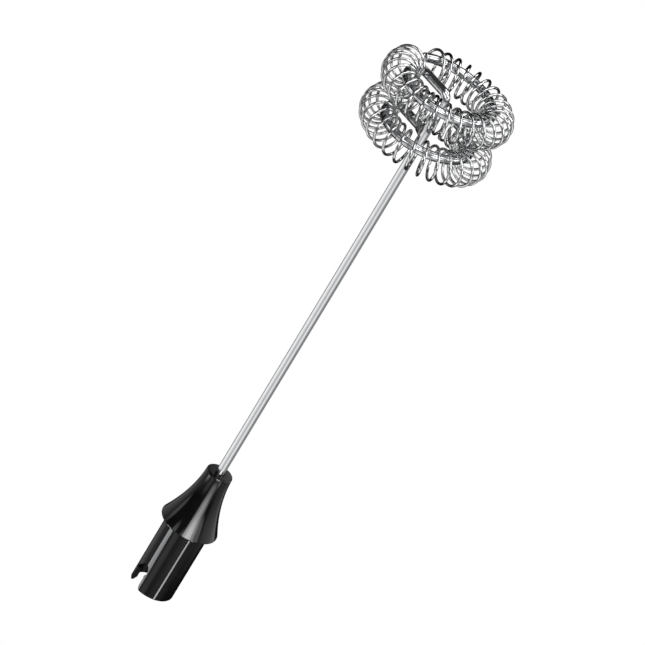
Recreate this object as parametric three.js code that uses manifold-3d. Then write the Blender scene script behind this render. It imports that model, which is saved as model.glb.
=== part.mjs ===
// Double-ring spring whisk of a hand milk frother. Millimetres, +Z from the hub towards the whisk.
// Origin: centre of the collar's seat plane, where the plug shank meets the flared nose.
import * as THREE from 'three';
import Module from 'manifold-3d';

const wasm = await Module();
wasm.setup();

// ---- driving dimensions ----
const SHAFT_R = 1.25;                 // Ø2.5 stainless rod
const SHAFT_FOOT = -13.2;             // lower end of the rod, inside the drive dog
const TOP = 146.5;                    // level of the upper spoke
const DROP = 12.0;                    // the lower ring sits this far below the upper one
const BEND = 1.8;                     // centre-line bend radius of the rod
const SPOKE_AZ = 144;                 // azimuth of both spokes, degrees
const RING_R0 = 11.8, RING_R1 = 12.65; // core ring radius at its start and at its free end
const RING_RISE = 2.68;               // the free end climbs over the spoke
const RING_SWEEP = 361;               // degrees of core ring
const COIL_R = 14.0, COIL_TUBE = 4.38; // spring: radius of the ring it makes, radius of one turn
const COIL_WIRE = 0.35;               // spring wire radius
const COIL_FROM = 6, COIL_TO = 340.5, COIL_TURNS = 28;
const NOSE_H = 18.35, NOSE_TOP_R = 3.8, RIM_R = 8.35, NOSE_BORE = 1.34;
const SLEEVE_R = 6.35, SLEEVE_LEN = 22.7, SLEEVE_BORE = 4.85;
const SPIGOT_R = 5.3, SPIGOT_H = 3.5, SPIGOT_BORE = 3.7;
const WEB_TOP = -6.5, WEB_BOTTOM = -9.0;
const BUSH_R = 2.45, BUSH_BORE = 1.34, BUSH_SEAT = 2.55, FLANGE_R = 3.3;
const UP_GROOVE = 6.9, LOW_GROOVE = -4.3, GROOVE_R = 0.95, GROOVE_W = 0.8;
const PIN_Z = -11.3, PIN_R = 0.5;
const NOTCH_AZ = 221.5;               // azimuth of the plug notch, degrees

const rad = (deg) => deg * Math.PI / 180;

// ---- materials ----
const steel = () => new THREE.MeshStandardMaterial({ color: 0xc9ccce, metalness: 1, roughness: 0.16 });
const spring = () => new THREE.MeshStandardMaterial({ color: 0xd2d4d6, metalness: 1, roughness: 0.2 });
const black = () => new THREE.MeshStandardMaterial({ color: 0x1b1b1d, metalness: 0, roughness: 0.2 });
const acetal = () => new THREE.MeshStandardMaterial({ color: 0xe6e2d8, metalness: 0, roughness: 0.45 });
const bronze = () => new THREE.MeshStandardMaterial({ color: 0x9a7642, metalness: 1, roughness: 0.4 });
const rubber = () => new THREE.MeshStandardMaterial({ color: 0x2a2a2c, metalness: 0, roughness: 0.8 });

// ---- helpers ----
function node(name, geometry, material) {
  const mesh = new THREE.Mesh(geometry, material);
  mesh.name = name;
  return mesh;
}

function volumeOf(verts, tris) {
  let v = 0;
  for (let i = 0; i < tris.length; i += 3) {
    const [a, b, c] = [tris[i] * 3, tris[i + 1] * 3, tris[i + 2] * 3];
    v += verts[a] * (verts[b + 1] * verts[c + 2] - verts[b + 2] * verts[c + 1])
       - verts[a + 1] * (verts[b] * verts[c + 2] - verts[b + 2] * verts[c])
       + verts[a + 2] * (verts[b] * verts[c + 1] - verts[b + 1] * verts[c]);
  }
  return v / 6;
}

// one solid from any closed three.js geometry, corners welded, outside facing out
function solid(geometry) {
  const pos = geometry.getAttribute('position');
  const index = geometry.index ? Array.from(geometry.index.array) : [...Array(pos.count).keys()];
  const seen = new Map(), verts = [], remap = [];
  for (let i = 0; i < pos.count; i++) {
    const p = [pos.getX(i), pos.getY(i), pos.getZ(i)];
    const key = p.map((c) => Math.round(c * 2000)).join(',');
    if (!seen.has(key)) { seen.set(key, verts.length / 3); verts.push(...p); }
    remap.push(seen.get(key));
  }
  const tris = [];
  for (let i = 0; i < index.length; i += 3) {
    const t = [remap[index[i]], remap[index[i + 1]], remap[index[i + 2]]];
    if (t[0] !== t[1] && t[1] !== t[2] && t[0] !== t[2]) tris.push(...t);
  }
  if (volumeOf(verts, tris) < 0) {
    for (let i = 0; i < tris.length; i += 3) [tris[i + 1], tris[i + 2]] = [tris[i + 2], tris[i + 1]];
  }
  return new wasm.Manifold(new wasm.Mesh({
    numProp: 3, vertProperties: new Float32Array(verts), triVerts: new Uint32Array(tris),
  }));
}

function geometryOf(manifold) {
  const mesh = manifold.getMesh();
  const g = new THREE.BufferGeometry();
  const flat = new Float32Array(mesh.triVerts.length * 3);
  mesh.triVerts.forEach((v, i) => {
    for (let k = 0; k < 3; k++) flat[i * 3 + k] = mesh.vertProperties[v * mesh.numProp + k];
  });
  g.setAttribute('position', new THREE.BufferAttribute(flat, 3));
  g.computeVertexNormals();
  return g;
}

// a closed [radius, height] outline turned about Z
function turned(outline, segments = 48) {
  const pts = outline.map(([r, z]) => new THREE.Vector2(r, z));
  pts.push(pts[0].clone());
  return solid(new THREE.LatheGeometry(pts, segments).rotateX(Math.PI / 2));
}

const ringOf = (r0, r1, z0, z1, segments = 40) =>
  turned([[r0, z0], [r1, z0], [r1, z1], [r0, z1]], segments);

function rod(r, z0, z1, segments = 24) {
  const g = new THREE.CylinderGeometry(r, r, z1 - z0, segments).rotateX(Math.PI / 2);
  return solid(g.translate(0, 0, (z0 + z1) / 2));
}

// a path given by its own points, swept without respacing them
class Route extends THREE.Curve {
  constructor(points) { super(); this.points = points; }
  getPoint(t) {
    const n = this.points.length - 1;
    const i = Math.min(n - 1, Math.floor(t * n + 1e-9));
    return this.points[i].clone().lerp(this.points[i + 1], t * n - i);
  }
  getPointAt(u) { return this.getPoint(u); }
  getTangentAt(u) {
    const n = this.points.length - 1, i = Math.round(u * n);
    const before = this.points[Math.max(0, i - 1)], here = this.points[i];
    const after = this.points[Math.min(n, i + 1)];
    const a = here.clone().sub(before).normalize(), b = after.clone().sub(here).normalize();
    return a.add(b).normalize();
  }
}

function swept(points, r, sides) {
  const shape = new THREE.Shape();
  for (let i = 0; i < sides; i++) {
    const a = (i + 0.5) / sides * 2 * Math.PI;
    if (i === 0) shape.moveTo(r * Math.cos(a), r * Math.sin(a));
    else shape.lineTo(r * Math.cos(a), r * Math.sin(a));
  }
  const options = { steps: points.length - 1, extrudePath: new Route(points), bevelEnabled: false };
  return new THREE.ExtrudeGeometry(shape, options);
}

const polar = (r, az, z) => new THREE.Vector3(r * Math.cos(rad(az)), r * Math.sin(rad(az)), z);

// ---- whisk: rods ----
const coreRadius = (a) => RING_R0 + (RING_R1 - RING_R0) * a / 360;
const coreRise = (a) => RING_RISE * (a / 360) ** 1.7;

// quarter bend from p (heading u) to the heading v, bend radius b
function bend(corner, u, v, b, steps) {
  const out = [];
  const centre = corner.clone().addScaledVector(u, -b).addScaledVector(v, b);
  for (let i = 0; i <= steps; i++) {
    const t = i / steps * Math.PI / 2;
    out.push(centre.clone().addScaledVector(v, -b * Math.cos(t)).addScaledVector(u, b * Math.sin(t)));
  }
  return out;
}

// the radial spoke's outer corner followed by the climbing core ring
function ringRoute(level) {
  const outward = polar(1, SPOKE_AZ, 0), along = polar(1, SPOKE_AZ + 90, 0);
  const corner = polar(RING_R0, SPOKE_AZ, level);
  const points = bend(corner, outward, along, BEND, 4);
  const first = BEND / RING_R0 * 180 / Math.PI + 3;
  for (let a = first; a < RING_SWEEP; a += 7) {
    points.push(polar(coreRadius(a), SPOKE_AZ + a, level + coreRise(a)));
  }
  points.push(polar(coreRadius(RING_SWEEP), SPOKE_AZ + RING_SWEEP, level + coreRise(RING_SWEEP)));
  return points;
}

function shaftAndUpperRing() {
  const up = new THREE.Vector3(0, 0, 1), outward = polar(1, SPOKE_AZ, 0);
  const elbow = bend(new THREE.Vector3(0, 0, TOP), up, outward, BEND, 5);
  const points = [new THREE.Vector3(0, 0, SHAFT_FOOT), ...elbow, ...ringRoute(TOP)];
  let body = solid(swept(points, SHAFT_R, 12));
  for (const z of [UP_GROOVE, LOW_GROOVE]) {
    body = body.subtract(ringOf(GROOVE_R, 2, z - GROOVE_W / 2, z + GROOVE_W / 2, 24));
  }
  return geometryOf(body.subtract(crossBar(PIN_R + 0.1, 8)));
}

function lowerRing() {
  const level = TOP - DROP;
  const points = [polar(SHAFT_R + 0.2, SPOKE_AZ, level), ...ringRoute(level)];
  return swept(points, SHAFT_R, 12);
}

// fillet bead where the lower spoke meets the side of the shaft
function lowerRingWeld() {
  const cone = new THREE.CylinderGeometry(1.45, 2.0, 1.9, 28).rotateZ(-Math.PI / 2).translate(1.65, 0, 0);
  const bore = new THREE.CylinderGeometry(1.33, 1.33, 6, 28).rotateZ(-Math.PI / 2).translate(3, 0, 0);
  let bead = solid(cone).subtract(solid(bore)).subtract(rod(1.33, -4, 4, 28));
  return geometryOf(bead.rotate([0, 0, SPOKE_AZ]).translate([0, 0, TOP - DROP]));
}

// ---- whisk: springs ----
const clamp = (t) => Math.min(1, Math.max(0, t));
const ease = (t) => clamp(t) ** 2 * (3 - 2 * clamp(t));
const coilRadius = (a) => COIL_R + 0.3 * Math.sin(Math.PI * clamp((a - 130) / 180)) - 0.75 * ease((a - 200) / 140);
const coilLevel = (a) => 0.28 - 0.75 * Math.sin(Math.PI * Math.min(a, 250) / 500)
  + 0.65 * Math.max(0, (a - 270) / 70) ** 1.5;

function coil(level) {
  const perTurn = 10, total = COIL_TURNS * perTurn, points = [];
  const tube = COIL_TUBE + 0.07;
  for (let i = 0; i <= total; i++) {
    const a = COIL_FROM + (COIL_TO - COIL_FROM) * i / total;
    const w = -2 * Math.PI * i / perTurn;
    const r = coilRadius(a) + tube * Math.cos(w);
    points.push(polar(r, SPOKE_AZ + a, level + coilLevel(a) + tube * Math.sin(w)));
  }
  return swept(points, COIL_WIRE, 6);
}

// ---- hub: stationary shells ----
const flare = (d) => NOSE_TOP_R + (RIM_R - NOSE_TOP_R) * (d / (NOSE_H - 0.25)) ** 1.9;

function noseCone() {
  const outline = [[NOSE_BORE, NOSE_H], [NOSE_TOP_R - 0.45, NOSE_H], [NOSE_TOP_R - 0.12, NOSE_H - 0.13]];
  for (let d = 0.45; d < NOSE_H - 0.8; d += 1.65) outline.push([flare(d), NOSE_H - d]);
  outline.push([RIM_R, 0.25], [RIM_R, 0.12], [RIM_R - 0.12, 0]);
  outline.push([6.5, 0], [6.5, 0.15], [5.6, 0.15], [5.6, 3.8], [3.5, 3.8], [3.5, 9.05], [BUSH_SEAT, 9.05]);
  outline.push([BUSH_SEAT, 16.8], [NOSE_BORE, 16.8]);
  return geometryOf(turned(outline, 44));
}

// bayonet notch: parallel slot with a flared mouth, a detent lip and a sloping head
function notchCutter() {
  const foot = -SLEEVE_LEN;
  const outline = [[-2.1, -1], [2.95, -1], [2.8, 0], [2.25, 0.7], [2.08, 1.5], [2.08, 4.2], [1.93, 4.5],
    [1.93, 4.9], [2.3, 5.4], [2.4, 6.2], [2.2, 7.1], [1.75, 7.8], [1.1, 8.05], [0.4, 7.75],
    [-1.9, 5.6], [-2.1, 5.2]];
  const shape = new THREE.Shape(outline.map(([x, y]) => new THREE.Vector2(x, y)));
  const slot = new THREE.ExtrudeGeometry(shape, { depth: 6, bevelEnabled: false, curveSegments: 1 });
  // outline x along the wall, y up, depth outwards
  slot.translate(0, 0, 2.5).rotateX(Math.PI / 2).rotateZ(Math.PI);
  const pocket = new THREE.BoxGeometry(1.4, 1.1, 1.2).translate(-2.3, -5.35, 4.75);
  const cut = solid(slot.translate(0, 0, 0)).add(solid(pocket.rotateZ(Math.PI)));
  return cut.rotate([0, 0, NOTCH_AZ + 270]).translate([0, 0, foot]);
}

function couplingSleeve() {
  const foot = -SLEEVE_LEN;
  const outline = [[SLEEVE_BORE + 0.75, foot], [SLEEVE_R - 0.3, foot], [SLEEVE_R - 0.08, foot + 0.1],
    [SLEEVE_R, foot + 0.35], [SLEEVE_R, -0.1], [SPIGOT_R, -0.1], [SPIGOT_R, 1.3], [4.55, 1.3],
    [4.55, 2.4], [SPIGOT_R, 2.4], [SPIGOT_R, SPIGOT_H - 0.3], [SPIGOT_R - 0.3, SPIGOT_H],
    [SPIGOT_BORE, SPIGOT_H], [SPIGOT_BORE, WEB_TOP], [BUSH_SEAT, WEB_TOP], [BUSH_SEAT, WEB_BOTTOM],
    [SLEEVE_BORE, WEB_BOTTOM], [SLEEVE_BORE, foot + 1.0]];
  return geometryOf(turned(outline, 44).subtract(notchCutter()));
}

function jointORing() {
  const outline = [];
  for (let i = 0; i < 6; i++) {
    const t = i / 6 * 2 * Math.PI;
    outline.push([5.03 + 0.42 * Math.cos(t), 1.85 + 0.42 * Math.sin(t)]);
  }
  return geometryOf(turned(outline, 28));
}

// ---- hub: bearings and seal ----
function upperBush() {
  const outline = [[BUSH_BORE, 8.1], [FLANGE_R, 8.1], [FLANGE_R, 8.95], [BUSH_R, 8.95],
    [BUSH_R, 14.2], [BUSH_R - 0.3, 14.5], [BUSH_BORE, 14.5]];
  return geometryOf(turned(outline, 24));
}

function lowerBush() {
  const outline = [[BUSH_BORE, -9.1], [BUSH_R - 0.3, -9.1], [BUSH_R, -8.8], [BUSH_R, -6.35],
    [FLANGE_R, -6.35], [FLANGE_R, -5.55], [BUSH_BORE, -5.55]];
  return geometryOf(turned(outline, 24));
}

// cup seal: thick heel below, sprung lip up against the rod
function lipSeal() {
  const outline = [[1.4, 15.6], [1.36, 16.55], [1.6, 16.6], [1.85, 15.5], [2.1, 15.5], [2.15, 16.6],
    [2.4, 16.6], [2.42, 14.75], [1.55, 14.75]];
  return geometryOf(turned(outline, 24));
}

// ---- hub: pieces that turn with the rod ----
function clip(z) {
  const shape = new THREE.Shape();
  const r0 = GROOVE_R + 0.08, r1 = 2.6, mouth = rad(38);
  shape.absarc(0, 0, r1, mouth, 2 * Math.PI - mouth, false);
  shape.absarc(0, 0, r0, 2 * Math.PI - mouth * 1.5, mouth * 1.5, true);
  shape.closePath();
  const g = new THREE.ExtrudeGeometry(shape, { depth: 0.6, bevelEnabled: false, curveSegments: 14 });
  return g.translate(0, 0, z - 0.3);
}

const washer = (z0, z1) => geometryOf(ringOf(BUSH_BORE, 2.85, z0, z1, 32));

function crossBar(r, length) {
  const g = new THREE.CylinderGeometry(r, r, length, 14).rotateZ(Math.PI / 2);
  return solid(g.translate(0, 0, PIN_Z));
}

// female coupling: six-sided socket open downwards, cross-pinned to the rod
function driveDog() {
  const outline = [[1.35, -16.9], [3.2, -16.9], [3.6, -16.5], [3.6, -9.7], [3.3, -9.4], [1.35, -9.4]];
  const socket = rod(2.31, -18, -13.5, 6);
  return geometryOf(turned(outline, 24).subtract(socket).subtract(crossBar(PIN_R + 0.1, 8)));
}

const dogPin = () => geometryOf(crossBar(PIN_R, 6.6));

// ---- assembly ----
const part = new THREE.Group();
part.name = 'milk_frother_whisk';
part.add(
  node('nose_cone', noseCone(), black()),
  node('coupling_sleeve', couplingSleeve(), black()),
  node('joint_o_ring', jointORing(), rubber()),
  node('upper_bush', upperBush(), bronze()),
  node('lower_bush', lowerBush(), bronze()),
  node('lip_seal', lipSeal(), rubber()),
  node('shaft_and_upper_ring', shaftAndUpperRing(), steel()),
  node('lower_ring', lowerRing(), steel()),
  node('lower_ring_weld', lowerRingWeld(), steel()),
  node('upper_clip', clip(UP_GROOVE), steel()),
  node('lower_clip', clip(LOW_GROOVE), steel()),
  node('upper_thrust_washer', washer(7.45, 7.85), acetal()),
  node('lower_thrust_washer', washer(-5.3, -4.85), acetal()),
  node('drive_dog', driveDog(), acetal()),
  node('dog_pin', dogPin(), steel()),
  node('upper_coil', coil(TOP), spring()),
  node('lower_coil', coil(TOP - DROP), spring()),
);

export default part;
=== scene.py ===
"""Looks of the double-ring milk frother whisk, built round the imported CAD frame. Metres, row frame."""
import math

import bpy
import bmesh
from mathutils import Matrix, Vector


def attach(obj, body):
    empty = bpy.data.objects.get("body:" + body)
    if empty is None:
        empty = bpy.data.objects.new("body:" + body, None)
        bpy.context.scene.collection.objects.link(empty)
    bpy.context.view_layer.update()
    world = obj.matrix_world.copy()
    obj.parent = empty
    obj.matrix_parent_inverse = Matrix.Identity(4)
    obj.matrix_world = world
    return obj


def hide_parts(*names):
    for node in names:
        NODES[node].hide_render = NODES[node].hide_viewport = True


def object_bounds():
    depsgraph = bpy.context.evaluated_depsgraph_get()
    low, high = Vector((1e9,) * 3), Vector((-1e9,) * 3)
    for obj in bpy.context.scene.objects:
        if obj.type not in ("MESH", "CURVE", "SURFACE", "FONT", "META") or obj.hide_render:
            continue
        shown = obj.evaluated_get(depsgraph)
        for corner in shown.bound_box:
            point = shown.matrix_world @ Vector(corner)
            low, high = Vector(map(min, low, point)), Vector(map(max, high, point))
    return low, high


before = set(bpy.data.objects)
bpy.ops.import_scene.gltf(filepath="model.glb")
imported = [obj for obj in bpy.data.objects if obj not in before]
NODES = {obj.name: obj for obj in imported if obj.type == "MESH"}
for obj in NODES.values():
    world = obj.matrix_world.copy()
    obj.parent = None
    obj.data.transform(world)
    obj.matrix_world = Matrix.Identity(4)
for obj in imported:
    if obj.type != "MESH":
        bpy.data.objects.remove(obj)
cad_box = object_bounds()
MM = 0.001

# ---------------------------------------------------------------- sizes, as in the CAD (mm)
ROD_R = 1.25
ROD_FOOT = -13.2
TOP = 146.5
DROP = 12.0
BEND = 1.8
SPOKE_AZ = 144.0
RING_R0, RING_R1 = 11.8, 12.65
RING_RISE = 2.68
RING_SWEEP = 361.0
COIL_R, COIL_TUBE, COIL_WIRE = 14.0, 4.41, 0.38
COIL_FROM, COIL_TO, COIL_TURNS = 6.0, 340.5, 28
NOSE_H, NOSE_TOP_R, RIM_R, NOSE_BORE = 18.35, 3.8, 8.35, 1.31
NOSE_ROUND = 0.46  # radius of the nose's upper edge
RIM_LAND = 0.4     # height over the seat where the flare's curve gives way to the rim
SLEEVE_R, SLEEVE_LEN, SLEEVE_BORE = 6.35, 22.7, 4.85
NOTCH_AZ = 221.5
ROD_SIDES, WIRE_SIDES, HUB_SEGMENTS = 40, 14, 160
SHARP = 32  # degrees between two faces of the hub that make their edge sharp


# ---------------------------------------------------------------- mesh helpers
def new_object(name, mesh, body, nodes):
    """A visible piece that rides on `body` and stands for the CAD `nodes`."""
    obj = bpy.data.objects.new(name, mesh)
    bpy.context.scene.collection.objects.link(obj)
    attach(obj, body)
    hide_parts(*nodes)
    return obj


def smooth(mesh, angle):
    """Smooth shading, with edges sharper than `angle` degrees kept sharp."""
    for p in mesh.polygons:
        p.use_smooth = True
    mesh.set_sharp_from_angle(angle=math.radians(angle))


def polar(r, az, z):
    """The point at radius r and azimuth az (degrees), at height z."""
    a = math.radians(az)
    return Vector((r * math.cos(a), r * math.sin(a), z))


def sweep(points, radius, sides, name):
    """A round tube through the points (mm), with capped and slightly rounded ends.
    UV: u runs round the tube, v along it in millimetres."""
    before, after = points[:1] + points[:-1], points[1:] + points[-1:]
    tangents = [(b - a).normalized() for a, b in zip(before, after)]
    side = tangents[0].orthogonal().normalized()
    rings, stations, run = [], [], 0.0
    for i, p in enumerate(points):
        if i:
            run += (p - points[i - 1]).length
            turn = tangents[i - 1].rotation_difference(tangents[i])
            side = (turn @ side).normalized()
        side = (side - tangents[i] * side.dot(tangents[i])).normalized()
        stations.append((p, side.copy(), tangents[i].cross(side), radius, run))
    edge = radius * 0.18
    first, last = stations[0], stations[-1]
    stations[0] = (first[0] + tangents[0] * edge, *first[1:3], radius, first[4])
    stations[-1] = (last[0] - tangents[-1] * edge, *last[1:3], radius, last[4])
    stations.insert(0, (first[0], *first[1:3], radius - edge, first[4]))
    stations.append((last[0], *last[1:3], radius - edge, last[4]))
    bm = bmesh.new()
    uv = bm.loops.layers.uv.new("UVMap")
    turns = [2 * math.pi * k / sides for k in range(sides)]
    for p, u, v, r, along in stations:
        ring = [bm.verts.new((p + u * (r * math.cos(a)) + v * (r * math.sin(a))) * MM) for a in turns]
        rings.append((ring, along))
    for (r0, l0), (r1, l1) in zip(rings, rings[1:]):
        for k in range(sides):
            n = (k + 1) % sides
            f = bm.faces.new((r0[k], r0[n], r1[n], r1[k]))
            for loop, co in zip(f.loops, ((k, l0), (k + 1, l0), (k + 1, l1), (k, l1))):
                loop[uv].uv = (co[0] / sides, co[1])
    bm.faces.new(list(reversed(rings[0][0])))
    bm.faces.new(rings[-1][0])
    bm.normal_update()
    mesh = bpy.data.meshes.new(name)
    bm.to_mesh(mesh)
    bm.free()
    smooth(mesh, 50)
    return mesh


def turned(outline, segments, name):
    """A closed (radius, height) outline in mm turned about Z. UV: u round the axis, v along the outline."""
    bm = bmesh.new()
    uv = bm.loops.layers.uv.new("UVMap")
    cols = []
    for k in range(segments):
        a = 2 * math.pi * k / segments
        cols.append([bm.verts.new(Vector((r * math.cos(a), r * math.sin(a), z)) * MM) for r, z in outline])
    run = [0.0]
    for (r0, z0), (r1, z1) in zip(outline, outline[1:] + outline[:1]):
        run.append(run[-1] + math.hypot(r1 - r0, z1 - z0))
    n = len(outline)
    for k in range(segments):
        c0, c1 = cols[k], cols[(k + 1) % segments]
        for i in range(n):
            j = (i + 1) % n
            f = bm.faces.new((c0[i], c0[j], c1[j], c1[i]))
            for loop, co in zip(f.loops, ((k, i), (k, i + 1), (k + 1, i + 1), (k + 1, i))):
                loop[uv].uv = (co[0] / segments, run[co[1]])
    bmesh.ops.recalc_face_normals(bm, faces=bm.faces)
    mesh = bpy.data.meshes.new(name)
    bm.to_mesh(mesh)
    bm.free()
    smooth(mesh, SHARP)
    return mesh


def rounded(outline, radii, steps=5):
    """The outline with the corners named in radii {index: radius} turned into arcs."""
    out = []
    n = len(outline)
    for i, p in enumerate(outline):
        r = radii.get(i)
        if not r:
            out.append(p)
            continue
        p = Vector(p)
        a = (Vector(outline[i - 1]) - p).normalized()
        b = (Vector(outline[(i + 1) % n]) - p).normalized()
        half = a.angle(b) / 2
        run = r / math.tan(half)
        centre = p + (a + b).normalized() * (r / math.sin(half))
        s, e = p + a * run - centre, p + b * run - centre
        sweep_angle = math.atan2(s.x * e.y - s.y * e.x, s.dot(e))
        for k in range(steps + 1):
            t = sweep_angle * k / steps
            q = Vector((s.x * math.cos(t) - s.y * math.sin(t), s.x * math.sin(t) + s.y * math.cos(t)))
            out.append(tuple(centre + q))
    return out


# ---------------------------------------------------------------- node helpers
class Nodes:
    """A material or world tree with short calls for what this scene uses."""

    def __init__(self, tree):
        self.tree = tree
        tree.nodes.clear()

    def add(self, kind, **values):
        node = self.tree.nodes.new(kind)
        for k, v in values.items():
            if hasattr(node, k):
                setattr(node, k, v)
            else:
                node.inputs[k.replace("_", " ")].default_value = v
        return node

    def link(self, a, b):
        self.tree.links.new(a, b)

    def math(self, op, a, b):
        node = self.tree.nodes.new("ShaderNodeMath")
        node.operation = op
        for i, v in enumerate((a, b)):
            if isinstance(v, (int, float)):
                node.inputs[i].default_value = v
            else:
                self.link(v, node.inputs[i])
        return node.outputs[0]

    def smoothstep(self, x, lo, hi, a=0.0, b=1.0):
        node = self.tree.nodes.new("ShaderNodeMapRange")
        node.interpolation_type = "SMOOTHSTEP"
        self.link(x, node.inputs["Value"])
        for k, v in (("From Min", lo), ("From Max", hi), ("To Min", a), ("To Max", b)):
            node.inputs[k].default_value = v
        return node.outputs["Result"]

    def ramp(self, x, stops, interpolation="EASE"):
        node = self.tree.nodes.new("ShaderNodeValToRGB")
        node.color_ramp.interpolation = interpolation
        el = node.color_ramp.elements
        while len(el) > 1:
            el.remove(el[0])
        for i, (pos, value) in enumerate(stops):
            e = el[0] if i == 0 else el.new(pos)
            e.position = pos
            e.color = (value, value, value, 1) if isinstance(value, (int, float)) else (*value, 1)
        self.link(x, node.inputs["Fac"])
        return node.outputs["Color"]


def material(name):
    """A new material with one Principled shader: (material, its nodes, the shader)."""
    mat = bpy.data.materials.new(name)
    mat.use_nodes = True
    n = Nodes(mat.node_tree)
    out = n.add("ShaderNodeOutputMaterial")
    bsdf = n.add("ShaderNodeBsdfPrincipled")
    n.link(bsdf.outputs[0], out.inputs["Surface"])
    return mat, n, bsdf


def coords(n, output, scale=(1, 1, 1)):
    """The "Object" or "UV" coordinates, scaled."""
    tc = n.add("ShaderNodeTexCoord")
    mp = n.add("ShaderNodeMapping")
    mp.inputs["Scale"].default_value = scale
    n.link(tc.outputs[output], mp.inputs["Vector"])
    return mp.outputs["Vector"]


def noise(n, vector, scale, detail=3.0, rough=0.5):
    node = n.add("ShaderNodeTexNoise", Scale=scale, Detail=detail, Roughness=rough)
    n.link(vector, node.inputs["Vector"])
    return node.outputs["Fac"]


def bump(n, bsdf, height, strength, distance):
    node = n.add("ShaderNodeBump", Strength=strength, Distance=distance)
    n.link(height, node.inputs["Height"])
    n.link(node.outputs["Normal"], bsdf.inputs["Normal"])


# ---------------------------------------------------------------- materials
def polished_steel():
    """Centreless-ground rod: bright, with fine rings round it and faint handling haze."""
    mat, n, bsdf = material("polished_steel")
    bsdf.inputs["Metallic"].default_value = 1.0
    bsdf.inputs["Anisotropic"].default_value = 0.3
    rings = noise(n, coords(n, "UV", (1.2, 9.0, 1)), 1.0, 4.0, 0.62)
    haze = noise(n, coords(n, "Object"), 240.0, 2.0)
    tint = n.ramp(rings, [(0.25, (0.471, 0.479, 0.489)), (0.75, (0.571, 0.579, 0.586))], "LINEAR")
    n.link(tint, bsdf.inputs["Base Color"])
    rough = n.math("ADD", n.math("MULTIPLY", haze, 0.10), n.math("MULTIPLY", rings, 0.08))
    n.link(n.math("ADD", rough, 0.105), bsdf.inputs["Roughness"])
    bump(n, bsdf, rings, 0.06, 0.00003)
    return mat


def spring_wire():
    """Drawn stainless wire: bright, with faint lengthwise die lines."""
    mat, n, bsdf = material("spring_wire")
    bsdf.inputs["Metallic"].default_value = 1.0
    lines = noise(n, coords(n, "UV", (9.0, 0.35, 1)), 1.0, 3.0, 0.6)
    tint = n.ramp(lines, [(0.25, (0.429, 0.432, 0.439)), (0.75, (0.657, 0.661, 0.664))], "LINEAR")
    n.link(tint, bsdf.inputs["Base Color"])
    n.link(n.math("ADD", n.math("MULTIPLY", lines, 0.07), 0.03), bsdf.inputs["Roughness"])
    return mat


def weld_steel():
    """Heat-tinted bead with fine ripples."""
    mat, n, bsdf = material("weld_steel")
    bsdf.inputs["Metallic"].default_value = 1.0
    ripple = noise(n, coords(n, "Object"), 2600.0, 3.0)
    tint = n.ramp(ripple, [(0.3, (0.34, 0.33, 0.33)), (0.7, (0.62, 0.61, 0.60))], "LINEAR")
    n.link(tint, bsdf.inputs["Base Color"])
    n.link(n.math("ADD", n.math("MULTIPLY", ripple, 0.2), 0.18), bsdf.inputs["Roughness"])
    bump(n, bsdf, ripple, 0.5, 0.00008)
    return mat


def hub_plastic():
    """Glossy injection-moulded black plastic with a trace of orange peel and fine handling marks."""
    mat, n, bsdf = material("hub_plastic")
    bsdf.inputs["IOR"].default_value = 1.47
    bsdf.inputs["Specular IOR Level"].default_value = 0.143
    peel = noise(n, coords(n, "Object"), 420.0, 2.0)
    rub = noise(n, coords(n, "Object", (1, 1, 0.16)), 1500.0, 4.0, 0.7)
    tint = n.ramp(peel, [(0.3, (0.0032, 0.0032, 0.0036)), (0.75, (0.0054, 0.0054, 0.0057))], "LINEAR")
    n.link(tint, bsdf.inputs["Base Color"])
    marks = n.math("MULTIPLY", n.smoothstep(rub, 0.62, 0.80), 0.08)
    gloss = n.math("ADD", n.math("MULTIPLY", peel, 0.03), 0.045)
    n.link(n.math("ADD", gloss, marks), bsdf.inputs["Roughness"])
    bump(n, bsdf, peel, 0.004, 0.0002)
    return mat


def plain(name, dark, light, rough, metallic, grain, depth):
    """A plain finish with fine grit: colour from dark to light, roughness about `rough`, bumps `depth` strong."""
    mat, n, bsdf = material(name)
    bsdf.inputs["Metallic"].default_value = metallic
    grit = noise(n, coords(n, "Object"), grain, 4.0, 0.6)
    n.link(n.ramp(grit, [(0.3, dark), (0.7, light)], "LINEAR"), bsdf.inputs["Base Color"])
    n.link(n.math("ADD", n.math("MULTIPLY", grit, 0.15), rough - 0.07), bsdf.inputs["Roughness"])
    bump(n, bsdf, grit, depth, 0.00006)
    return mat


STEEL = polished_steel()
WIRE = spring_wire()
WELD = weld_steel()
HUB = hub_plastic()
BRONZE = plain("sintered_bronze", (0.30, 0.18, 0.075), (0.52, 0.35, 0.17), 0.36, 1.0, 2400.0, 0.4)
ACETAL = plain("white_acetal", (0.60, 0.58, 0.52), (0.70, 0.68, 0.62), 0.42, 0.0, 900.0, 0.1)
RUBBER = plain("seal_rubber", (0.012, 0.012, 0.012), (0.024, 0.024, 0.024), 0.62, 0.0, 1800.0, 0.3)
CLIP = plain("phosphated_clip", (0.10, 0.10, 0.105), (0.20, 0.20, 0.21), 0.34, 1.0, 2000.0, 0.2)
for node_name, mat in (("upper_bush", BRONZE), ("lower_bush", BRONZE), ("lip_seal", RUBBER),
                       ("joint_o_ring", RUBBER), ("upper_clip", CLIP), ("lower_clip", CLIP),
                       ("upper_thrust_washer", ACETAL), ("lower_thrust_washer", ACETAL),
                       ("drive_dog", ACETAL), ("dog_pin", CLIP), ("lower_ring_weld", WELD)):
    node = NODES[node_name]
    for s in node.material_slots:
        s.link = "OBJECT"
        s.material = mat


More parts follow.
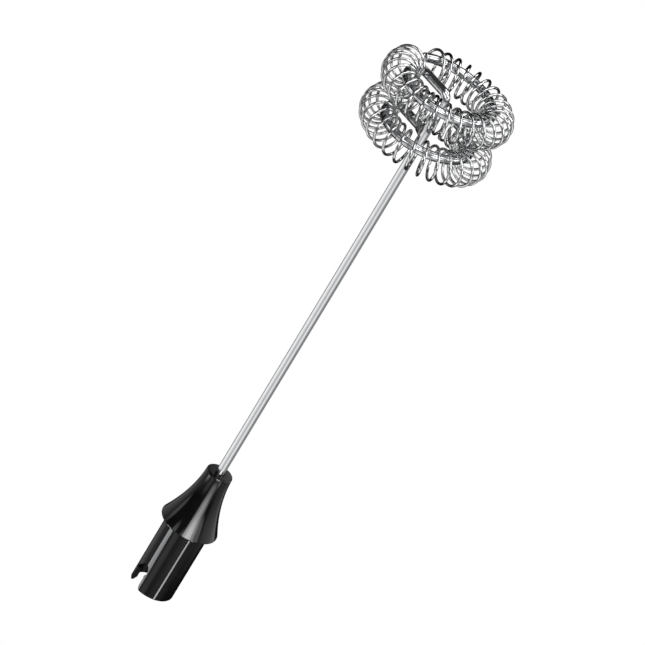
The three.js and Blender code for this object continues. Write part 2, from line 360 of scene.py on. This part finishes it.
# ---------------------------------------------------------------- rods
def bend_points(corner, u, v, radius, steps):
    """A quarter bend at the corner, from direction u into direction v."""
    centre = corner - u * radius + v * radius
    quarter = [i / steps * math.pi / 2 for i in range(steps + 1)]
    return [centre - v * (radius * math.cos(t)) + u * (radius * math.sin(t)) for t in quarter]


def ring_points(level):
    """A core ring: it leaves its spoke by a bend, and opens and rises a little as it goes round."""
    outward, along = polar(1, SPOKE_AZ, 0), polar(1, SPOKE_AZ + 90, 0)
    points = bend_points(polar(RING_R0, SPOKE_AZ, level), outward, along, BEND, 12)
    first = math.degrees(BEND / RING_R0) + 3
    steps = 180
    for i in range(steps + 1):
        a = first + (RING_SWEEP - first) * i / steps
        radius = RING_R0 + (RING_R1 - RING_R0) * a / 360
        points.append(polar(radius, SPOKE_AZ + a, level + RING_RISE * (a / 360) ** 1.7))
    return points


def straight(a, b, step):
    """Points from a to b, about `step` apart."""
    n = max(1, round((b - a).length / step))
    return [a.lerp(b, i / n) for i in range(n + 1)]


def shaft_points():
    up, outward = Vector((0, 0, 1)), polar(1, SPOKE_AZ, 0)
    elbow = bend_points(Vector((0, 0, TOP)), up, outward, BEND, 14)
    ring = ring_points(TOP)
    rod = straight(Vector((0, 0, ROD_FOOT)), elbow[0], 2.0)
    spoke = straight(elbow[-1], ring[0], 1.0)
    return rod[:-1] + elbow + spoke[1:-1] + ring


def lower_points():
    level = TOP - DROP
    ring = ring_points(level)
    return straight(polar(ROD_R + 0.2, SPOKE_AZ, level), ring[0], 1.0)[:-1] + ring


shaft = new_object("rod_and_upper_ring", sweep(shaft_points(), ROD_R, ROD_SIDES, "rod_and_upper_ring"), "whisk",
                   ["shaft_and_upper_ring"])
lower = new_object("lower_core_ring", sweep(lower_points(), ROD_R, ROD_SIDES, "lower_core_ring"), "whisk",
                   ["lower_ring"])
for rod in (shaft, lower):
    rod.data.materials.append(STEEL)


# ---------------------------------------------------------------- springs
def ease(t):
    t = min(1.0, max(0.0, t))
    return t * t * (3 - 2 * t)


def coil_points(level):
    """A spring's wire: turns round a centre line that swells, closes in and rises to follow the core ring."""
    per_turn, points = 60, []
    total = COIL_TURNS * per_turn
    for i in range(total + 1):
        a = COIL_FROM + (COIL_TO - COIL_FROM) * i / total
        w = -2 * math.pi * i / per_turn
        bulge = 0.3 * math.sin(math.pi * min(1.0, max(0.0, (a - 130) / 180)))
        radius = COIL_R + bulge - 0.75 * ease((a - 200) / 140) + COIL_TUBE * math.cos(w)
        rise = 0.28 - 0.75 * math.sin(math.pi * min(a, 250) / 500)
        rise += 0.65 * max(0.0, (a - 270) / 70) ** 1.5
        points.append(polar(radius, SPOKE_AZ + a, level + rise + COIL_TUBE * math.sin(w)))
    return points


SPRINGS = []
for name, level, body, node_name in (("upper_spring_wire", TOP, "upper_spring", "upper_coil"),
                                     ("lower_spring_wire", TOP - DROP, "lower_spring", "lower_coil")):
    wire = sweep(coil_points(level), COIL_WIRE, WIRE_SIDES, name)
    SPRINGS.append(new_object(name, wire, body, [node_name]))
    wire.materials.append(WIRE)


# ---------------------------------------------------------------- hub
def flare(d):
    """The nose's radius at depth d below its end face."""
    return NOSE_TOP_R + (RIM_R - NOSE_TOP_R) * (d / (NOSE_H - 0.25)) ** 1.9


def nose_outline():
    """The nose from the mouth of its bore, over the end face and down the flare, and back up inside."""
    mouth, edge_r, edge_z = 0.12, NOSE_TOP_R - NOSE_ROUND, NOSE_H - NOSE_ROUND
    pts = [(NOSE_BORE, NOSE_H - mouth), (NOSE_BORE + mouth, NOSE_H), (edge_r, NOSE_H)]
    for k in range(1, 7):
        t = math.radians(90 * k / 6)
        pts.append((edge_r + NOSE_ROUND * math.sin(t), edge_z + NOSE_ROUND * math.cos(t)))
    steps = 44
    for k in range(1, steps + 1):
        d = NOSE_ROUND + (NOSE_H - RIM_LAND - NOSE_ROUND) * k / steps
        pts.append((flare(d), NOSE_H - d))
    rim = [(flare(NOSE_H - RIM_LAND), RIM_LAND), (RIM_R, 0.25), (RIM_R, 0.0), (6.5, 0.0)]
    pts += rounded(rim, {1: 0.08, 2: 0.09}, 4)[1:-1]
    pts += [(6.5, 0.0), (6.5, 0.15), (5.6, 0.15), (5.6, 3.8), (3.5, 3.8), (3.5, 9.05), (2.55, 9.05),
            (2.55, 16.8), (NOSE_BORE, 16.8)]
    return pts


def sleeve_outline():
    """The plug sleeve from its open end, up the outside and over the joint, and back down inside."""
    foot = -SLEEVE_LEN
    pts = [(SLEEVE_BORE + 0.75, foot), (SLEEVE_R, foot), (SLEEVE_R, -0.1), (5.3, -0.1), (5.3, 1.3), (4.55, 1.3),
           (4.55, 2.4), (5.3, 2.4), (5.3, 3.5), (3.7, 3.5), (3.7, -6.5), (2.55, -6.5), (2.55, -9.0),
           (SLEEVE_BORE, -9.0), (SLEEVE_BORE, foot + 1.0)]
    return rounded(pts, {1: 0.35, 8: 0.3}, 5)


# the notch seen from outside: across the wall, and up from the open end
NOTCH = [(-2.1, -1), (2.95, -1), (2.8, 0), (2.25, 0.7), (2.08, 1.5), (2.08, 4.2), (1.93, 4.5), (1.93, 4.9),
         (2.3, 5.4), (2.4, 6.2), (2.2, 7.1), (1.75, 7.8), (1.1, 8.05), (0.4, 7.75), (-1.9, 5.6), (-2.1, 5.2)]


def notch_cutter():
    """The notch's outline pushed through the wall at the notch's azimuth."""
    outline = rounded(NOTCH, {3: 0.8, 5: 0.2, 6: 0.15, 7: 0.2, 8: 0.4, 9: 0.6, 10: 0.6, 11: 0.5, 12: 0.5,
                              13: 0.5, 14: 0.25}, 4)
    bm = bmesh.new()
    inside, outside = 2.5, 8.5  # distances from the axis, either side of the wall
    inner = [bm.verts.new((x, inside, y)) for x, y in outline]
    outer = [bm.verts.new((x, outside, y)) for x, y in outline]
    bm.faces.new(inner)
    bm.faces.new(list(reversed(outer)))
    for i in range(len(outline)):
        j = (i + 1) % len(outline)
        bm.faces.new((inner[j], inner[i], outer[i], outer[j]))
    bmesh.ops.recalc_face_normals(bm, faces=bm.faces)
    # x along the wall, y outwards, z up: turned so that y points along the notch's azimuth
    turn = Matrix.Rotation(math.radians(NOTCH_AZ - 90), 4, "Z")
    # seen from outside, positive x lies to the right
    flip = Matrix.Scale(-1, 4, (1, 0, 0))
    lift = Matrix.Translation((0, 0, -SLEEVE_LEN))
    bm.transform(Matrix.Scale(MM, 4) @ lift @ turn @ flip)
    bm.normal_update()
    if bm.calc_volume(signed=True) < 0:
        bmesh.ops.reverse_faces(bm, faces=bm.faces)
    mesh = bpy.data.meshes.new("notch_cutter")
    bm.to_mesh(mesh)
    bm.free()
    return bpy.data.objects.new("notch_cutter", mesh)


def pocket_cutter():
    """A shallow pocket in the wall beside the notch."""
    bm = bmesh.new()
    bmesh.ops.create_cube(bm, size=1.0)
    turn = Matrix.Rotation(math.radians(NOTCH_AZ - 90), 4, "Z")
    place = Matrix.Translation((2.3, 5.35, 4.75)) @ Matrix.Diagonal((1.4, 1.1, 1.2, 1))
    bm.transform(Matrix.Scale(MM, 4) @ Matrix.Translation((0, 0, -SLEEVE_LEN)) @ turn @ place)
    mesh = bpy.data.meshes.new("pocket_cutter")
    bm.to_mesh(mesh)
    bm.free()
    return bpy.data.objects.new("pocket_cutter", mesh)


def cut(mesh, cutters):
    """The mesh less the cutters, as a new mesh."""
    holder = bpy.data.objects.new("holder", mesh)
    bpy.context.scene.collection.objects.link(holder)
    for c in cutters:
        bpy.context.scene.collection.objects.link(c)
        mod = holder.modifiers.new("cut", "BOOLEAN")
        mod.operation, mod.object, mod.solver = "DIFFERENCE", c, "EXACT"
    bpy.context.view_layer.update()
    graph = bpy.context.evaluated_depsgraph_get()
    made = bpy.data.meshes.new_from_object(holder.evaluated_get(graph))
    for o in [holder, *cutters]:
        bpy.data.objects.remove(o)
    return made


nose = new_object("nose_shell", turned(nose_outline(), HUB_SEGMENTS, "nose_shell"), "hub",
                  ["nose_cone"])
sleeve_mesh = cut(turned(sleeve_outline(), HUB_SEGMENTS, "plug_sleeve"), [notch_cutter(), pocket_cutter()])
sleeve_mesh.name = "plug_sleeve"
smooth(sleeve_mesh, SHARP)
sleeve = new_object("plug_sleeve", sleeve_mesh, "hub", ["coupling_sleeve"])
for shell in (nose, sleeve):
    shell.data.materials.clear()
    shell.data.materials.append(HUB)


# ---------------------------------------------------------------- floor, light, camera
FLOOR_DROP = 0.22  # metres from the hub's open end down to the floor


def towards(azimuth, elevation):
    """The unit direction at an azimuth and elevation in degrees."""
    e = math.radians(elevation)
    return polar(math.cos(e), azimuth, math.sin(e))


def floor():
    """A plain white floor that shows in no reflection."""
    bm = bmesh.new()
    bmesh.ops.create_circle(bm, cap_ends=True, segments=96, radius=6.0)
    mesh = bpy.data.meshes.new("floor")
    bm.to_mesh(mesh)
    bm.free()
    obj = bpy.data.objects.new("floor", mesh)
    obj.location = (0, 0, cad_box[0][2] - FLOOR_DROP)
    bpy.context.scene.collection.objects.link(obj)
    mat = bpy.data.materials.new("pale_floor")
    mat.use_nodes = True
    n = Nodes(mat.node_tree)
    out = n.add("ShaderNodeOutputMaterial")
    glow = n.add("ShaderNodeEmission", Strength=1.0)
    glow.inputs["Color"].default_value = (1, 1, 1, 1)
    n.link(glow.outputs[0], out.inputs["Surface"])
    mesh.materials.append(mat)
    obj.visible_glossy = False
    obj.visible_diffuse = False


def studio_world():
    """Dark studio over a bright table: the metal sees lit walls below the horizon and gloom with a few lamps above."""
    world = bpy.data.worlds.new("studio")
    bpy.context.scene.world = world
    world.use_nodes = True
    n = Nodes(world.node_tree)
    out = n.add("ShaderNodeOutputWorld")
    tc = n.add("ShaderNodeTexCoord")
    sep = n.add("ShaderNodeSeparateXYZ")
    n.link(tc.outputs["Generated"], sep.inputs[0])
    x, y, z = sep.outputs
    # azimuth as a turn: 0 at -X, 0.25 at -Y, 0.5 at +X, 0.75 at +Y
    azimuth = n.math("ADD", n.math("DIVIDE", n.math("ARCTAN2", y, x), 2 * math.pi), 0.5)
    walls = n.ramp(azimuth, [(0.0, 0.45), (0.08, 0.55), (0.16, 0.62), (0.235, 0.37), (0.275, 0.56), (0.32, 1.0),
                             (0.35, 0.86), (0.39, 0.56), (0.46, 0.25), (0.53, 0.12), (0.60, 0.24), (0.66, 0.36),
                             (0.72, 0.12), (0.80, 0.10), (0.86, 0.30), (0.92, 0.36), (1.0, 0.45)], "B_SPLINE")
    gloom = n.ramp(azimuth, [(0.0, 0.03), (0.10, 0.05), (0.20, 0.10), (0.30, 0.14), (0.42, 0.12), (0.52, 0.17),
                             (0.60, 0.18), (0.68, 0.10), (0.75, 0.04), (0.88, 0.02), (1.0, 0.03)], "B_SPLINE")
    # walls up to the gloom, dimmer where they meet the table
    above = n.smoothstep(z, -0.36, -0.12)
    walls = n.math("MULTIPLY", walls, n.smoothstep(z, -0.74, -0.54, 0.40, 1.0))
    walls = n.math("MULTIPLY", walls, n.math("SUBTRACT", 1.0, above))
    level = n.math("ADD", walls, n.math("MULTIPLY", gloom, above))
    for az, el, width, blur, power in LAMPS:
        dot = n.add("ShaderNodeVectorMath", operation="DOT_PRODUCT")
        n.link(tc.outputs["Generated"], dot.inputs[0])
        dot.inputs[1].default_value = towards(az, el)
        lo, hi = math.cos(math.radians(width + blur)), math.cos(math.radians(width))
        level = n.math("ADD", level, n.smoothstep(dot.outputs["Value"], lo, hi, 0.0, power))
    # dark curtain behind the table, which gives the wires their dark edges
    behind = n.math("ADD", n.math("MULTIPLY", y, 0.891), n.math("MULTIPLY", z, -0.454))
    level = n.math("MULTIPLY", level, n.smoothstep(behind, 0.0, 0.42, 1.0, 0.03))
    glow = n.add("ShaderNodeBackground", Strength=1.82)
    n.link(level, glow.inputs["Color"])
    seen = n.add("ShaderNodeBackground", Strength=1.0)
    seen.inputs["Color"].default_value = (1, 1, 1, 1)
    path = n.add("ShaderNodeLightPath")
    mix = n.add("ShaderNodeMixShader")
    n.link(path.outputs["Is Camera Ray"], mix.inputs[0])
    n.link(glow.outputs[0], mix.inputs[1])
    n.link(seen.outputs[0], mix.inputs[2])
    n.link(mix.outputs[0], out.inputs["Surface"])


# soft round lamps: azimuth, elevation, half width, blur (degrees), power
LAMPS = [(32, 6, 7, 8, 3.8), (2, 28, 6, 8, 3.1), (-42, 14, 6, 8, 3.3), (-92, 28, 5, 8, 2.9), (-127, 22, 4, 7, 2.8),
         (-85, 70, 7, 10, 2.4), (-25, 54, 6, 9, 2.8), (45, 48, 6, 9, 2.4), (82, 68, 6, 9, 2.0), (30, -55, 11, 10, 1.2),
         (-150, -62, 10, 9, 1.0), (-60, -66, 9, 9, 1.1), (-172, 0, 4, 7, 1.6)]


def strip(name, azimuth, elevation, width, height, radiance, receivers, across, upward, tint=(1, 1, 1)):
    """A lamp panel that faces the origin and shows in the gloss of `receivers` only. Angles in degrees; `across` and
    `upward` are brightness ramps over the panel, towards greater azimuth and elevation."""
    distance = 1.5
    data = bpy.data.lights.new(name, "AREA")
    data.shape = "RECTANGLE"
    data.size, data.size_y = (2 * distance * math.tan(math.radians(d / 2)) for d in (width, height))
    data.energy, data.color = radiance * math.pi * data.size * data.size_y, tint
    data.use_nodes = True
    n = Nodes(data.node_tree)
    out = n.add("ShaderNodeOutputLight")
    glow = n.add("ShaderNodeEmission")
    sep = n.add("ShaderNodeSeparateXYZ")
    n.link(n.add("ShaderNodeNewGeometry").outputs["Parametric"], sep.inputs[0])
    strength = n.math("MULTIPLY", n.ramp(sep.outputs[0], across), n.ramp(sep.outputs[1], upward))
    n.link(strength, glow.inputs["Strength"])
    n.link(glow.outputs[0], out.inputs["Surface"])
    obj = bpy.data.objects.new(name, data)
    bpy.context.scene.collection.objects.link(obj)
    away = towards(azimuth, elevation)
    obj.location = away * distance
    obj.rotation_euler = away.to_track_quat("Z", "Y").to_euler()
    obj.visible_camera = False
    obj.visible_diffuse = False
    group = bpy.data.collections.new(name + "_receives")
    for o in receivers:
        group.objects.link(o)
    obj.light_linking.receiver_collection = group


CAMERA_AT = (0.0026, -1.1655, 0.6664)
CAMERA_ELEVATION, CAMERA_ROLL, CAMERA_LENS = 27.0, 31.2, 279.07


def camera():
    """The camera at the studio's front, looking along +Y and down, rolled about its axis."""
    elevation, roll = math.radians(CAMERA_ELEVATION), math.radians(CAMERA_ROLL)
    back = Vector((0, -math.cos(elevation), math.sin(elevation)))
    right = Vector((1, 0, 0))
    up = back.cross(right)
    r = right * math.cos(roll) + up * math.sin(roll)
    u = up * math.cos(roll) - right * math.sin(roll)
    data = bpy.data.cameras.new("camera")
    data.sensor_width, data.lens = 36.0, CAMERA_LENS
    data.clip_start, data.clip_end = 0.05, 50.0
    obj = bpy.data.objects.new("camera", data)
    bpy.context.scene.collection.objects.link(obj)
    turn = Matrix((r, u, back)).transposed().to_4x4()
    obj.matrix_world = Matrix.Translation(Vector(CAMERA_AT)) @ turn
    bpy.context.scene.camera = obj


floor()
studio_world()

# brightness ramps over the panels
EDGES = [(0.0, 0.0), (0.10, 1.0), (0.90, 0.9), (1.0, 0.0)]
FADE_UP = [(0.0, 1.0), (0.6, 1.0), (1.0, 0.0)]
SOFT = [(0.0, 0.0), (0.2, 1.0), (0.8, 1.0), (1.0, 0.0)]
SOFTER = [(0.0, 0.0), (0.3, 1.0), (0.7, 1.0), (1.0, 0.0)]
EVEN = [(0.0, 1.0), (1.0, 1.0)]
HUB_PIECES = [nose, sleeve]

# the hub's two sharp lines, its broad highlight, and fills for its sides
strip("left_strip", -152, -36, 21, 36, 19.60, HUB_PIECES, EDGES, FADE_UP, (0.96, 0.98, 1.0))
strip("thin_strip", -45, -36, 7, 36, 30.80, HUB_PIECES, EDGES, FADE_UP)
strip("front_softbox", -70, 4, 46, 60, 47.60, HUB_PIECES,
      [(0.0, 0.0), (0.2, 0.6), (0.43, 1.0), (0.62, 0.9), (0.8, 0.4), (1.0, 0.05)],
      [(0.0, 0.0), (0.16, 0.2), (0.45, 0.5), (0.75, 1.0), (1.0, 0.9)])
strip("low_fill", -116, -27, 30, 40, 1.54, HUB_PIECES, SOFTER, SOFT)
strip("left_fill", 154, 0, 84, 84, 1.89, HUB_PIECES,
      [(0.0, 0.0), (0.3, 0.6), (0.52, 0.85), (0.78, 0.5), (0.92, 0.18), (1.0, 0.0)],
      [(0.0, 0.0), (0.2, 0.6), (0.8, 1.0), (1.0, 0.0)])
strip("right_fill", 8, 4, 84, 84, 2.94, HUB_PIECES,
      [(0.0, 0.0), (0.3, 0.85), (0.6, 1.0), (0.85, 1.3), (1.0, 0.6)],
      [(0.0, 0.0), (0.25, 0.3), (0.55, 0.8), (0.85, 1.0), (1.0, 0.0)])
strip("back_fill", 90, 28, 40, 40, 1.54, HUB_PIECES,
      [(0.0, 0.0), (0.15, 1.0), (0.35, 1.0), (0.6, 0.3), (1.0, 0.0)], SOFT)

# low bands that lift the rod's two sides
strip("rod_left", 160, -27, 84, 24, 0.70, [shaft],
      [(0.0, 0.3), (0.29, 0.60), (0.46, 0.85), (0.59, 1.0), (0.71, 0.85), (0.85, 0.50), (1.0, 0.1)], EVEN)
strip("rod_far_left", -170, -27, 84, 24, 0.55, [shaft],
      [(0.0, 0.0), (0.1, 0.2), (0.25, 0.65), (0.4, 1.0), (0.69, 1.0), (0.85, 0.5), (1.0, 0.2)], EVEN)
strip("rod_right", 34, -27, 84, 24, 0.56, [shaft],
      [(0.0, 0.05), (0.11, 0.28), (0.26, 0.42), (0.4, 0.62), (0.57, 0.85), (0.86, 1.0), (1.0, 1.0)], EVEN)

# a fill for the springs' lower right sides
strip("coil_fill", -20, -28, 70, 60, 0.42, SPRINGS, SOFTER, SOFTER)
camera()

scene = bpy.context.scene
scene.view_settings.view_transform = "Standard"
scene.view_settings.look = "None"
scene.view_settings.exposure = 0.0
scene.view_settings.gamma = 1.0
